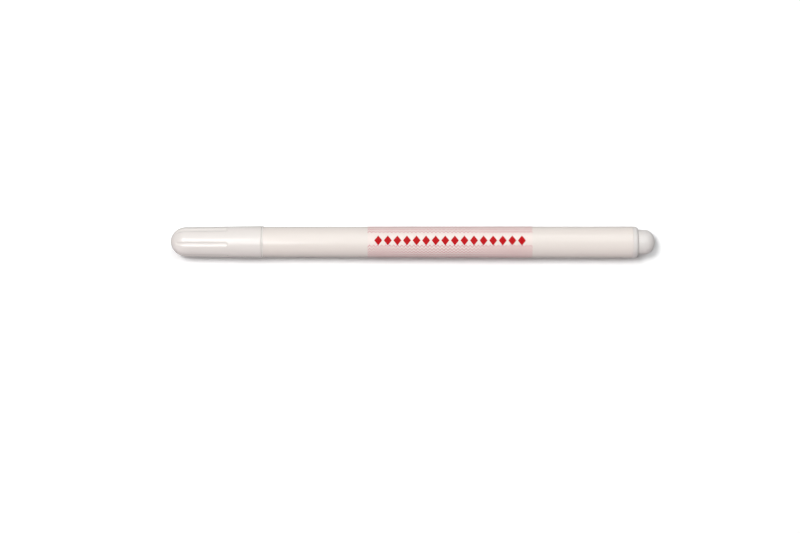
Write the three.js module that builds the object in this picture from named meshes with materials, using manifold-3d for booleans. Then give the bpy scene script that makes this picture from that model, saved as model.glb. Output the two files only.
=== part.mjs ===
// A water-erasable fabric pen with its cap on, lying on a table. Millimetres, +Z up, the length along X.
// The cap is at -X and the tail at +X. The origin is below the middle of the pen, on the table.
// Every piece is turned about the pen's axis, which is Y while the pieces are made. "along" is the distance
// from the cap's tip. The groups at the end lay the pen down along X.
import * as THREE from "three";
import { mergeVertices } from "three/addons/utils/BufferGeometryUtils.js";
import Module from "manifold-3d";

// Flats round the pen. They are wide enough for a round pen to lie still on one of them.
const SIDES = 32;
const ARC_STEPS = 7;
const MERGE_DISTANCE = 1e-4;

// Colours and roughness
const CAP_WHITE = { color: 0xf3efec, roughness: 0.32 };
const LINER_WHITE = { color: 0xe9edee, roughness: 0.45 };
const BARREL_WHITE = { color: 0xf6efe8, roughness: 0.28 };
const LABEL_PINK = { color: 0xf1dcda, roughness: 0.3 };
const SECTION_WHITE = { color: 0xf0ece8, roughness: 0.35 };
const NIB_BLUE = { color: 0x4aa9d8, roughness: 0.8 };
const RESERVOIR_BLUE = { color: 0x9fd0ea, roughness: 0.9 };
const CLEAR_FILM = { color: 0xdfe8ec, roughness: 0.2 };
const PLUG_WHITE = { color: 0xe6e4e2, roughness: 0.38 };

// Cap
const CAP_LENGTH = 26.3;
const CAP_DOME_LENGTH = 4.5;
const CAP_DOME_RADIUS = 4.22;
const CAP_RIM_RADIUS = 4.53;
const CAP_RIM_BAND = 1.6;
const CAP_WALL = 0.87;
const CAP_RIM_WALL = 0.75;
const CAP_MOUTH_DEPTH = 6.5;
const SNAP_GROOVE_DEPTH = 0.1;

// Flutes pressed into the outside of the cap
const FLUTE_COUNT = 6;
const FLUTE_START = 1.45;
const FLUTE_END = 16.8;
const FLUTE_WIDTH = 1.54;
const FLUTE_TIP_WIDTH = 1.25;
const FLUTE_TAPER_LENGTH = 3.5;
const FLUTE_DEPTH = 0.26;
const FLUTE_TURN = THREE.MathUtils.degToRad(9.2);

// Inner cap
const LINER_WALL = 0.4;
const LINER_FLANGE = 0.6;

// Nib
const NIB_RADIUS = 0.75;
const NIB_POINT_RADIUS = 0.35;
const NIB_POINT_LENGTH = 1.5;
const NIB_SHOWN = 2.2;
const NIB_IN_RESERVOIR = 4;

// Front section, which holds the nib and carries the cap
const NOSE_RADIUS = 1.2;
const NOSE_LENGTH = 6.6;
const NOSE_BORE_LENGTH = 6;
const INK_PATH_RADIUS = 1.5;
const COLLAR_LENGTH = 3.2;
const COLLAR_CHAMFER = 0.4;
const SNAP_BEAD_HEIGHT = 0.08;
const SNAP_BEAD_WIDTH = 0.8;
const SNAP_BEAD_FROM_FLANGE = 1.8;
const FLANGE_THICKNESS = 0.45;
const SECTION_SPIGOT = 10;
const SECTION_SOCKET = 8;

// Barrel
const BARREL_LENGTH = 106.76;
const BARREL_FRONT_RADIUS = 4.33;
const BARREL_REAR_RADIUS = 4.51;
const BARREL_WALL = 0.8;

// Printed film round the barrel
const LABEL_FROM_FLANGE = 30.2;
const LABEL_LENGTH = 47.45;
const LABEL_THICKNESS = 0.04;
const LABEL_SEAM = 1.1;

// Ink reservoir
const RESERVOIR_RADIUS = 2.75;
const FILM_THICKNESS = 0.08;

// Tail plug
const PLUG_FLANGE_BAND = 0.45;
const PLUG_FLANGE_ROUND = 1.2;
const PLUG_GROOVE_DEPTH = 0.12;
const PLUG_GROOVE_WIDTH = 0.25;
const PLUG_STEM_RADIUS = 3.56;
const PLUG_STEM_LENGTH = 1.59;
const PLUG_DOME_LENGTH = 3;
const PLUG_SPIGOT = 9;
const PLUG_SOCKET = 4;
const PLUG_WALL = 1.1;
const PLUG_RING_COUNT = 3;
const PLUG_RING_HEIGHT = 0.2;
const PLUG_RING_WIDTH = 0.8;

// Clearances
const CAP_FIT = 0.1;
const SEAL_FIT = 0.06;
const PRESS_GAP = 0.03;
const LABEL_GAP = 0.01;
const SHOULDER_GAP = 0.3;
const END_GAP = 0.1;

// Places along the pen
const NECK_START = CAP_LENGTH - CAP_MOUTH_DEPTH + LINER_FLANGE + SHOULDER_GAP;
const COLLAR_START = NECK_START - COLLAR_LENGTH;
const NOSE_START = COLLAR_START - NOSE_LENGTH;
const NIB_START = NOSE_START - NIB_SHOWN;
const BARREL_START = CAP_LENGTH + FLANGE_THICKNESS;
const BARREL_END = BARREL_START + BARREL_LENGTH;
const RESERVOIR_START = BARREL_START + SECTION_SPIGOT - SECTION_SOCKET + END_GAP;
const RESERVOIR_END = BARREL_END - PLUG_SPIGOT + PLUG_SOCKET - END_GAP;
const PLUG_STEM_START = BARREL_END + PLUG_FLANGE_BAND + PLUG_FLANGE_ROUND + PLUG_GROOVE_WIDTH;
const PLUG_DOME_START = PLUG_STEM_START + PLUG_STEM_LENGTH;
const PEN_LENGTH = PLUG_DOME_START + PLUG_DOME_LENGTH;

// Radii that follow from what fits in what
const MOUTH_RADIUS = CAP_RIM_RADIUS - CAP_RIM_WALL;
const NECK_RADIUS = MOUTH_RADIUS - CAP_FIT - SNAP_BEAD_HEIGHT;
const CAP_BORE_RADIUS = CAP_DOME_RADIUS - CAP_WALL;
const LINER_RADIUS = CAP_BORE_RADIUS - PRESS_GAP;
const LINER_BORE_RADIUS = LINER_RADIUS - LINER_WALL;
const COLLAR_RADIUS = LINER_BORE_RADIUS - SEAL_FIT;
const NIB_BORE_RADIUS = NIB_RADIUS + PRESS_GAP;
const FILM_BORE_RADIUS = RESERVOIR_RADIUS + PRESS_GAP;
const FILM_RADIUS = FILM_BORE_RADIUS + FILM_THICKNESS;
const SOCKET_RADIUS = FILM_RADIUS + PRESS_GAP;

function barrelRadius(along) {
  const share = (along - BARREL_START) / BARREL_LENGTH;
  return THREE.MathUtils.lerp(BARREL_FRONT_RADIUS, BARREL_REAR_RADIUS, share);
}

function barrelBore(along) {
  return barrelRadius(along) - BARREL_WALL;
}

// A point of a profile: its distance from the axis and its place along the pen.
function at(radius, along) {
  return new THREE.Vector2(radius, along);
}

// A stretch of an ellipse, between two angles in degrees. At 0 it is farthest from the axis, at -90 farthest
// towards the cap and at 90 farthest towards the tail.
function arc(centre, radial, axial, from, to) {
  return Array.from({ length: ARC_STEPS + 1 }, (_, i) => {
    const angle = THREE.MathUtils.degToRad(THREE.MathUtils.lerp(from, to, i / ARC_STEPS));
    return at(centre.x + radial * Math.cos(angle), centre.y + axial * Math.sin(angle));
  });
}

// A solid of revolution about Y. A profile runs towards the tail on its outside, and back on its inside.
// One flat faces the table.
function turned(points) {
  return new THREE.LatheGeometry(points, SIDES, Math.PI / SIDES, 2 * Math.PI);
}

// A ring: its profile closes on itself.
function ring(points) {
  return turned([...points, points[0].clone()]);
}

const wasm = await Module();
wasm.setup();

function toSolid(geometry) {
  const bare = geometry.clone();
  bare.deleteAttribute("normal");
  bare.deleteAttribute("uv");
  const merged = mergeVertices(bare, MERGE_DISTANCE);
  return new wasm.Manifold(
    new wasm.Mesh({
      numProp: 3,
      vertProperties: merged.attributes.position.array,
      triVerts: new Uint32Array(merged.index.array),
    }),
  );
}

function toGeometry(solid) {
  const mesh = solid.getMesh();
  const geometry = new THREE.BufferGeometry();
  geometry.setAttribute("position", new THREE.BufferAttribute(mesh.vertProperties, 3));
  geometry.setIndex(new THREE.BufferAttribute(mesh.triVerts, 1));
  geometry.computeVertexNormals();
  return geometry;
}

// The outside of the cap, drawn in by inset all over.
function capOutside(inset) {
  return [
    ...arc(at(0, CAP_DOME_LENGTH), CAP_DOME_RADIUS - inset, CAP_DOME_LENGTH - inset, -90, 0),
    at(CAP_RIM_RADIUS - inset, CAP_LENGTH - CAP_RIM_BAND),
    at(CAP_RIM_RADIUS - inset, CAP_LENGTH),
  ];
}

// One flute's outline, drawn flat: a slot that narrows towards the cap's tip and ends in a half circle.
function fluteOutline() {
  const half = FLUTE_WIDTH / 2;
  const tipHalf = FLUTE_TIP_WIDTH / 2;
  const shape = new THREE.Shape();
  shape.moveTo(-tipHalf, FLUTE_START);
  shape.lineTo(tipHalf, FLUTE_START);
  shape.lineTo(half, FLUTE_START + FLUTE_TAPER_LENGTH);
  shape.lineTo(half, FLUTE_END - half);
  shape.absarc(0, FLUTE_END - half, half, 0, Math.PI, false);
  shape.lineTo(-half, FLUTE_START + FLUTE_TAPER_LENGTH);
  shape.closePath();
  return shape;
}

function fluteCutters() {
  const floor = toSolid(turned([...capOutside(FLUTE_DEPTH), at(0, CAP_LENGTH)]));
  const bar = new THREE.ExtrudeGeometry(fluteOutline(), {
    depth: 2 * CAP_RIM_RADIUS,
    curveSegments: ARC_STEPS,
    bevelEnabled: false,
  });
  return Array.from({ length: FLUTE_COUNT }, (_, i) => {
    const angle = FLUTE_TURN + (i * 2 * Math.PI) / FLUTE_COUNT;
    return toSolid(bar.clone().rotateY(angle)).subtract(floor);
  });
}

function capShell() {
  const mouthStart = CAP_LENGTH - CAP_MOUTH_DEPTH;
  const grooveEnd = CAP_LENGTH - SNAP_BEAD_FROM_FLANGE + SNAP_BEAD_WIDTH / 2;
  const grooveStart = grooveEnd - SNAP_BEAD_WIDTH;
  const body = turned([
    ...capOutside(0),
    at(MOUTH_RADIUS, CAP_LENGTH),
    at(MOUTH_RADIUS, grooveEnd + SNAP_GROOVE_DEPTH),
    at(MOUTH_RADIUS + SNAP_GROOVE_DEPTH, grooveEnd),
    at(MOUTH_RADIUS + SNAP_GROOVE_DEPTH, grooveStart),
    at(MOUTH_RADIUS, grooveStart - SNAP_GROOVE_DEPTH),
    at(MOUTH_RADIUS, mouthStart),
    at(CAP_BORE_RADIUS, mouthStart),
    ...arc(at(0, CAP_DOME_LENGTH), CAP_BORE_RADIUS, CAP_DOME_LENGTH - CAP_WALL, 0, -90),
  ]);
  return toGeometry(fluteCutters().reduce((solid, cutter) => solid.subtract(cutter), toSolid(body)));
}

function capLiner() {
  const seat = CAP_LENGTH - CAP_MOUTH_DEPTH + PRESS_GAP;
  const outerLength = CAP_DOME_LENGTH - CAP_WALL - PRESS_GAP;
  return turned([
    ...arc(at(0, CAP_DOME_LENGTH), LINER_RADIUS, outerLength, -90, 0),
    at(LINER_RADIUS, seat),
    at(MOUTH_RADIUS - PRESS_GAP, seat),
    at(MOUTH_RADIUS - PRESS_GAP, seat + LINER_FLANGE),
    at(LINER_BORE_RADIUS, seat + LINER_FLANGE),
    ...arc(at(0, CAP_DOME_LENGTH), LINER_BORE_RADIUS, outerLength - LINER_WALL, 0, -90),
  ]);
}

function nib() {
  return turned([
    ...arc(at(0, NIB_START + NIB_POINT_RADIUS), NIB_POINT_RADIUS, NIB_POINT_RADIUS, -90, 0),
    at(NIB_RADIUS, NIB_START + NIB_POINT_LENGTH),
    at(NIB_RADIUS, RESERVOIR_START + NIB_IN_RESERVOIR),
    at(0, RESERVOIR_START + NIB_IN_RESERVOIR),
  ]);
}

function frontSection() {
  const beadMiddle = CAP_LENGTH - SNAP_BEAD_FROM_FLANGE;
  const beadHalf = SNAP_BEAD_WIDTH / 2;
  const spigotEnd = BARREL_START + SECTION_SPIGOT;
  const socketStart = spigotEnd - SECTION_SOCKET;
  return ring([
    at(NIB_BORE_RADIUS, NOSE_START),
    at(NOSE_RADIUS, NOSE_START),
    at(COLLAR_RADIUS - COLLAR_CHAMFER, COLLAR_START),
    at(COLLAR_RADIUS, COLLAR_START + COLLAR_CHAMFER),
    at(COLLAR_RADIUS, NECK_START),
    at(NECK_RADIUS, NECK_START),
    at(NECK_RADIUS, beadMiddle - beadHalf),
    at(NECK_RADIUS + SNAP_BEAD_HEIGHT, beadMiddle),
    at(NECK_RADIUS, beadMiddle + beadHalf),
    at(NECK_RADIUS, CAP_LENGTH),
    at(CAP_RIM_RADIUS, CAP_LENGTH),
    at(CAP_RIM_RADIUS, BARREL_START),
    at(barrelBore(BARREL_START) - PRESS_GAP, BARREL_START),
    at(barrelBore(spigotEnd) - PRESS_GAP, spigotEnd),
    at(SOCKET_RADIUS, spigotEnd),
    at(SOCKET_RADIUS, socketStart),
    at(INK_PATH_RADIUS, socketStart),
    at(INK_PATH_RADIUS, NOSE_START + NOSE_BORE_LENGTH),
    at(NIB_BORE_RADIUS, NOSE_START + NOSE_BORE_LENGTH),
  ]);
}

function barrel() {
  return ring([
    at(barrelBore(BARREL_START), BARREL_START),
    at(BARREL_FRONT_RADIUS, BARREL_START),
    at(BARREL_REAR_RADIUS, BARREL_END),
    at(barrelBore(BARREL_END), BARREL_END),
  ]);
}

// The film stops short of itself below the barrel, along a seam.
function barrelLabel() {
  const start = BARREL_START + LABEL_FROM_FLANGE;
  const end = start + LABEL_LENGTH;
  const film = ring([
    at(barrelRadius(start) + LABEL_GAP, start),
    at(barrelRadius(start) + LABEL_GAP + LABEL_THICKNESS, start),
    at(barrelRadius(end) + LABEL_GAP + LABEL_THICKNESS, end),
    at(barrelRadius(end) + LABEL_GAP, end),
  ]);
  const seam = new THREE.BoxGeometry(LABEL_SEAM, 2 * LABEL_LENGTH, 2 * BARREL_REAR_RADIUS);
  seam.translate(0, (start + end) / 2, -BARREL_REAR_RADIUS);
  return toGeometry(toSolid(film).subtract(toSolid(seam)));
}

function inkReservoir() {
  return turned([
    at(0, RESERVOIR_START + NIB_IN_RESERVOIR + END_GAP),
    at(NIB_BORE_RADIUS, RESERVOIR_START + NIB_IN_RESERVOIR + END_GAP),
    at(NIB_BORE_RADIUS, RESERVOIR_START),
    at(RESERVOIR_RADIUS, RESERVOIR_START),
    at(RESERVOIR_RADIUS, RESERVOIR_END),
    at(0, RESERVOIR_END),
  ]);
}

function reservoirFilm() {
  return ring([
    at(FILM_BORE_RADIUS, RESERVOIR_START),
    at(FILM_RADIUS, RESERVOIR_START),
    at(FILM_RADIUS, RESERVOIR_END),
    at(FILM_BORE_RADIUS, RESERVOIR_END),
  ]);
}

// The rounded rear edge of the plug's flange, down to the groove before the stem.
function plugShoulder() {
  const grooveRadius = PLUG_STEM_RADIUS - PLUG_GROOVE_DEPTH;
  const centre = at(grooveRadius, BARREL_END + PLUG_FLANGE_BAND);
  return arc(centre, BARREL_REAR_RADIUS - grooveRadius, PLUG_FLANGE_ROUND, 0, 90);
}

// Sealing rings round the part of the plug that is pressed into the barrel.
function plugSpigot() {
  const start = BARREL_END - PLUG_SPIGOT;
  const pitch = PLUG_SPIGOT / PLUG_RING_COUNT;
  const sealRadius = (along) => barrelBore(along) - PRESS_GAP;
  const points = [];
  for (let i = 0; i < PLUG_RING_COUNT; i++) {
    const middle = start + pitch * (i + 1 / 2);
    const before = middle - PLUG_RING_WIDTH / 2;
    const after = middle + PLUG_RING_WIDTH / 2;
    points.push(at(sealRadius(before) - PLUG_RING_HEIGHT, before));
    points.push(at(sealRadius(middle), middle));
    points.push(at(sealRadius(after) - PLUG_RING_HEIGHT, after));
  }
  return [
    at(sealRadius(start) - PLUG_RING_HEIGHT, start),
    ...points,
    at(sealRadius(BARREL_END) - PLUG_RING_HEIGHT, BARREL_END),
  ];
}

function tailPlug() {
  const spigotStart = BARREL_END - PLUG_SPIGOT;
  const socketEnd = spigotStart + PLUG_SOCKET;
  const coreRadius = PLUG_STEM_RADIUS - PLUG_WALL;
  const domeCentre = at(0, PLUG_DOME_START);
  return turned([
    ...arc(domeCentre, coreRadius, PLUG_DOME_LENGTH - PLUG_WALL, 90, 0),
    at(coreRadius, socketEnd),
    at(SOCKET_RADIUS, socketEnd),
    at(SOCKET_RADIUS, spigotStart),
    ...plugSpigot(),
    at(BARREL_REAR_RADIUS, BARREL_END),
    ...plugShoulder(),
    at(PLUG_STEM_RADIUS, PLUG_STEM_START),
    ...arc(domeCentre, PLUG_STEM_RADIUS, PLUG_DOME_LENGTH, 0, 90),
  ]);
}

function mesh(name, geometry, finish) {
  const piece = new THREE.Mesh(geometry, new THREE.MeshStandardMaterial({ ...finish, metalness: 0 }));
  piece.name = name;
  return piece;
}

const cap = new THREE.Group();
cap.add(mesh("cap_shell", capShell(), CAP_WHITE));
cap.add(mesh("cap_liner", capLiner(), LINER_WHITE));

const body = new THREE.Group();
body.add(mesh("barrel", barrel(), BARREL_WHITE));
body.add(mesh("barrel_label", barrelLabel(), LABEL_PINK));
body.add(mesh("front_section", frontSection(), SECTION_WHITE));
body.add(mesh("nib", nib(), NIB_BLUE));
body.add(mesh("ink_reservoir", inkReservoir(), RESERVOIR_BLUE));
body.add(mesh("reservoir_film", reservoirFilm(), CLEAR_FILM));
body.add(mesh("tail_plug", tailPlug(), PLUG_WHITE));

// Lays the pen down: its axis turns from Y to X, and the flat below the cap's rim comes to the table.
const pen = new THREE.Group();
pen.add(cap, body);
pen.rotation.z = -Math.PI / 2;
pen.position.set(-PEN_LENGTH / 2, 0, CAP_RIM_RADIUS * Math.cos(Math.PI / SIDES));

const root = new THREE.Group();
root.add(pen);
export default root;
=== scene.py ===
"""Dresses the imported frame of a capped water-erasable fabric pen, and sets it on a pale studio floor."""

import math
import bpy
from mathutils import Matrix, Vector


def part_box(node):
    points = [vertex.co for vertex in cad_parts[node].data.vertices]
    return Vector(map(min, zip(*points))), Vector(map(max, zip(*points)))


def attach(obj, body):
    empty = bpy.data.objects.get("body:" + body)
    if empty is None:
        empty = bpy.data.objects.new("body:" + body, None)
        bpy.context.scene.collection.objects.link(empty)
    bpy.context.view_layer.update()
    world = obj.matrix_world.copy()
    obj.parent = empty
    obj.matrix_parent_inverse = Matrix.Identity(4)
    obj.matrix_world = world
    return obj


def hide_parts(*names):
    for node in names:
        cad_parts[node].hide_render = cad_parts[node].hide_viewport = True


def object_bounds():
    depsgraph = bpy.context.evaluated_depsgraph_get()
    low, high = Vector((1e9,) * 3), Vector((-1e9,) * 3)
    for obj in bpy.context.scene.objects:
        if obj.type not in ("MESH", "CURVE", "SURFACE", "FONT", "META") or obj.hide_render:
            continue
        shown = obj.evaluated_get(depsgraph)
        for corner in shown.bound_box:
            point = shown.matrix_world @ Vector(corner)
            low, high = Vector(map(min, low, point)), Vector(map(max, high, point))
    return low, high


bl_info = {
    "name": "Fabric Marking Pen",
    "version": (1, 0, 0),
    "blender": (4, 5, 0),
    "location": "3D View > Sidebar > Fabric Pen",
    "description": "Makes the pieces of a capped fabric marking pen, and a pale studio for it",
    "category": "Add Mesh",
}

import bmesh
import bpy
from bpy.props import FloatProperty, FloatVectorProperty, IntProperty, PointerProperty
from mathutils import Vector

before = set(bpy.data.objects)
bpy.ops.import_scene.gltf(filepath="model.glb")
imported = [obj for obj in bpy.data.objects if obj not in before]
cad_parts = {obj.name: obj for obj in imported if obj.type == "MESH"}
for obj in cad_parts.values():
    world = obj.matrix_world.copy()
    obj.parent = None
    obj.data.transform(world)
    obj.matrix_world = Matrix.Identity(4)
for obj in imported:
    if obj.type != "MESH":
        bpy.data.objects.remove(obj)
CAD_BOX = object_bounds()

MM = 0.001

# The frame's round solids have this many flats, so its boxes are a little narrower than the round pieces
FRAME_FLATS = 32
ROUND_SHARE = 1 / math.cos(math.pi / FRAME_FLATS)

# Fineness of the round pieces
SEGMENTS = 192
CAP_SEGMENTS = 288
FIBRE_SEGMENTS = 96
FLUTE_ROW = 0.1 * MM
ARC_STEPS = 24
POINT_STEPS = 10
CORNER_STEPS = 5
WELD = 1e-7

# Where the cap's plain part has its rows, as shares of its length
PLAIN_ROWS = (0.25, 0.5, 0.75, 0.97, 1.0)

# The most of a side that one rounded corner takes, and the share above which two leave no flat between
CORNER_SHARE = 0.45
FULL_SHARE = 0.9

# Where the point stands that keeps the flat beside a rounded corner flat, in lengths of the rounding
GUARD_PLACE = 1.6


def span(node):
    """The places along the pen, from the cap's tip, where a node of the frame starts and ends."""
    low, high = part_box(node)
    return low.x - CAD_BOX[0].x, high.x - CAD_BOX[0].x


def girth(node):
    """The radius of the round piece whose flats a node of the frame shows."""
    low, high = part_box(node)
    return (high.z - low.z) / 2 * ROUND_SHARE


TIP = CAD_BOX[0].x
AXIS_HEIGHT = (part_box("cap_shell")[0].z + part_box("cap_shell")[1].z) / 2
CAP_END = span("cap_shell")[1]
LINER_END = span("cap_liner")[1]
NIB_START, NIB_END = span("nib")
NOSE_START, SPIGOT_END = span("front_section")
BARREL_START, BARREL_END = span("barrel")
LABEL_START, LABEL_END = span("barrel_label")
CORE_START, CORE_END = span("ink_reservoir")
PLUG_START, PEN_END = span("tail_plug")
RIM_RADIUS = girth("cap_shell")
REAR_RADIUS = girth("barrel")
NIB_RADIUS = girth("nib")
CORE_RADIUS = girth("ink_reservoir")


def length(name, millimetres, description, least=0.0):
    return FloatProperty(
        name=name,
        description=description,
        default=millimetres * MM,
        min=least,
        precision=5,
        unit="LENGTH",
    )


def number(name, value, description, least=1):
    return IntProperty(name=name, description=description, default=value, min=least)


def angle(name, degrees, description):
    return FloatProperty(
        name=name,
        description=description,
        default=math.radians(degrees),
        subtype="ANGLE",
    )


def colour(name, value, description):
    return FloatVectorProperty(
        name=name,
        description=description,
        default=value,
        min=0.0,
        max=1.0,
        size=3,
        subtype="COLOR",
    )


class FabricPenCapSizes(bpy.types.PropertyGroup):
    """Sizes of the cap and of the inner cap that is pressed into it"""

    dome_length: length("Dome length", 4.5, "Length of the cap's rounded end")
    dome_radius: length("Dome radius", 4.22, "Radius of the cap where its rounded end stops")
    rim_band: length("Rim band", 1.6, "Length of the straight band at the cap's mouth")
    wall: length("Wall", 0.87, "Thickness of the cap's wall")
    rim_wall: length("Rim wall", 0.75, "Thickness of the cap's wall round its mouth")
    mouth_depth: length("Mouth depth", 6.5, "How far the front section goes into the wide mouth")
    groove_depth: length("Snap groove", 0.1, "Depth of the groove that snaps over the neck's bead")
    liner_wall: length("Inner cap wall", 0.4, "Thickness of the inner cap's wall")
    liner_flange: length("Inner cap flange", 0.6, "Thickness of the inner cap's flange")
    press_gap: length("Press gap", 0.03, "Gap left between pieces that are pressed together")


class FabricPenFlutes(bpy.types.PropertyGroup):
    """The flutes pressed into the outside of the cap"""

    count: number("Count", 6, "Number of flutes round the cap")
    start: length("Start", 1.45, "Distance of the flutes' narrow ends from the cap's tip")
    end: length("End", 16.8, "Distance of the flutes' round ends from the cap's tip")
    width: length("Width", 1.54, "Width of a flute")
    tip_width: length("Tip width", 1.25, "Width of a flute at its narrow end")
    taper: length("Taper", 3.5, "Length over which a flute widens")
    depth: length("Depth", 0.21, "Depth of a flute")
    side: length("Side", 0.6, "Width of the curved side between a flute's edge and its floor")
    turn: angle("Turn", -9.2, "Where the first flute lies, from the top of the pen")


class FabricPenSectionSizes(bpy.types.PropertyGroup):
    """Sizes of the front section that holds the nib, and of the nib"""

    flange: length("Flange", 0.45, "Thickness of the ring that shows between the cap and the barrel")
    neck_start: length("Neck start", 20.7, "Distance of the neck's front from the cap's tip")
    neck_radius: length("Neck radius", 3.6, "Radius of the neck that the cap slides over")
    bead_height: length("Bead height", 0.08, "Height of the bead that the cap snaps over")
    bead_width: length("Bead width", 0.8, "Width of the bead")
    bead_place: length("Bead place", 1.8, "Distance of the bead from the flange")
    collar_start: length("Collar start", 17.5, "Distance of the sealing collar from the cap's tip")
    collar_radius: length("Collar radius", 2.86, "Radius of the collar that the inner cap seals on")
    nose_radius: length("Nose radius", 1.2, "Radius of the nose round the nib")
    nose_bore: length("Nose bore", 6.0, "Length of the bore that grips the nib")
    ink_path: length("Ink path radius", 1.5, "Radius of the passage behind the nose")
    socket: length("Socket depth", 8.0, "Depth of the socket for the ink core")
    nib_point: length("Nib point", 1.5, "Length of the nib's tapered point")
    nib_point_radius: length("Nib point radius", 0.35, "Radius of the rounded point")
    nib_gap: length("Nib gap", 0.03, "Gap between the nib and its bore")


class FabricPenBarrelSizes(bpy.types.PropertyGroup):
    """Sizes of the barrel, its film and the ink core"""

    front_radius: length("Front radius", 4.33, "Radius of the barrel behind the flange")
    wall: length("Wall", 0.8, "Thickness of the barrel's wall")
    film_gap: length("Film gap", 0.01, "Gap between the barrel and the film")
    film_thickness: length("Film thickness", 0.04, "Thickness of the clear film round the barrel")
    film_seam: length("Film seam", 1.1, "Width of the bare strip below, where the film's ends meet")
    wrap_thickness: length("Core wrap", 0.08, "Thickness of the film wrapped round the ink core")
    wrap_gap: length("Wrap gap", 0.03, "Gap between the ink core and its wrap")


class FabricPenPrint(bpy.types.PropertyGroup):
    """The zigzag rows and the row of diamonds printed on the film"""

    ink_gap: length("Ink gap", 0.003, "Height of the ink's underside over the film")
    ink_thickness: length("Ink thickness", 0.008, "Thickness of the ink")
    zigzag_count: number("Zigzags", 41, "Zigzags in one row")
    zigzag_height: length("Zigzag height", 0.72, "Height of a zigzag from peak to foot")
    zigzag_line: length("Zigzag line", 0.22, "Width of a zigzag's line, measured round the barrel")
    row_count: number("Rows", 25, "Rows of zigzags round the barrel", least=2)
    stripe_top: angle("Stripe top", 36.5, "Upper edge of the bare stripe, from the top of the pen")
    stripe_foot: angle("Stripe foot", -21.0, "Lower edge of the bare stripe, from the top of the pen")
    diamond_count: number("Diamonds", 16, "Diamonds in the bare stripe", least=2)
    diamond_width: length("Diamond width", 2.3, "Width of a diamond along the barrel")
    diamond_height: length("Diamond height", 2.9, "Height of a diamond round the barrel")
    diamond_inset: length("Diamond inset", 1.9, "Distance of the first diamond from the film's front edge")
    diamond_turn: angle("Diamond turn", 5.5, "Where the row of diamonds lies, from the top of the pen")


class FabricPenTailSizes(bpy.types.PropertyGroup):
    """Sizes of the plug that closes the barrel's tail"""

    flange_band: length("Flange band", 0.45, "Length of the flange's straight band")
    flange_round: length("Flange round", 1.2, "Length of the flange's rounded rear edge")
    groove_depth: length("Groove depth", 0.12, "Depth of the groove between the flange and the stem")
    groove_width: length("Groove width", 0.25, "Width of the groove between the flange and the stem")
    stem_radius: length("Stem radius", 3.56, "Radius of the stem")
    dome_length: length("Dome length", 3.0, "Length of the stem's rounded end")
    spigot: length("Spigot", 9.0, "Length of the part pressed into the barrel")
    socket: length("Socket", 4.0, "Depth of the socket for the ink core")
    wall: length("Wall", 1.1, "Thickness of the stem's wall")
    ring_count: number("Sealing rings", 3, "Rings that seal the plug")
    ring_height: length("Ring height", 0.2, "Height of a sealing ring")
    ring_width: length("Ring width", 0.8, "Width of a sealing ring")
    press_gap: length("Press gap", 0.03, "Gap left between pieces that are pressed together")


class FabricPenColours(bpy.types.PropertyGroup):
    """Colours of the pen's plastics, fibres and inks"""

    cap: colour("Cap", (0.815, 0.764, 0.73), "Moulded plastic of the cap")
    liner: colour("Inner cap", (0.74, 0.77, 0.77), "Soft plastic of the inner cap")
    section: colour("Front section", (0.83, 0.79, 0.75), "Moulded plastic of the front section")
    barrel: colour("Barrel", (0.83, 0.76, 0.71), "Moulded plastic of the barrel")
    film: colour("Film", (0.86, 0.755, 0.71), "The barrel seen through the clear film")
    zigzag: colour("Zigzag ink", (0.58, 0.11, 0.17), "Ink of the zigzag rows")
    diamond: colour("Diamond ink", (0.5, 0.002, 0.005), "Ink of the diamonds")
    plug: colour("Tail plug", (0.75, 0.713, 0.69), "Moulded plastic of the tail plug")
    nib: colour("Nib", (0.035, 0.23, 0.56), "Nib fibre, wet with ink")
    core: colour("Ink core", (0.13, 0.42, 0.72), "Core fibre, soaked with ink")
    wrap: colour("Core wrap", (0.88, 0.93, 0.95), "Clear film round the core")


class FabricPenStudio(bpy.types.PropertyGroup):
    """The camera and the floor"""

    camera_height: length("Camera height", 800.0, "Height of the camera over the floor")
    camera_x: length("Camera X", -3.724, "Place of the camera along the pen", least=-1.0)
    camera_y: length("Camera Y", -7.095, "Place of the camera across the pen", least=-1.0)
    camera_roll: angle("Camera roll", 0.048, "Turn of the camera round its own line of sight")
    focal_length: FloatProperty(
        name="Focal length",
        description="Focal length of the camera, in millimetres",
        default=123.715,
        unit="CAMERA",
    )
    floor_size: length("Floor size", 6000.0, "Width of the floor")


class FabricPen(bpy.types.PropertyGroup):
    """All the sizes and colours of the pen, and its studio"""

    cap: PointerProperty(name="Cap", type=FabricPenCapSizes)
    flutes: PointerProperty(name="Flutes", type=FabricPenFlutes)
    section: PointerProperty(name="Front section", type=FabricPenSectionSizes)
    barrel: PointerProperty(name="Barrel", type=FabricPenBarrelSizes)
    prints: PointerProperty(name="Print", type=FabricPenPrint)
    tail: PointerProperty(name="Tail", type=FabricPenTailSizes)
    colours: PointerProperty(name="Colours", type=FabricPenColours)
    studio: PointerProperty(name="Studio", type=FabricPenStudio)


# Profiles and round solids


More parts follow.
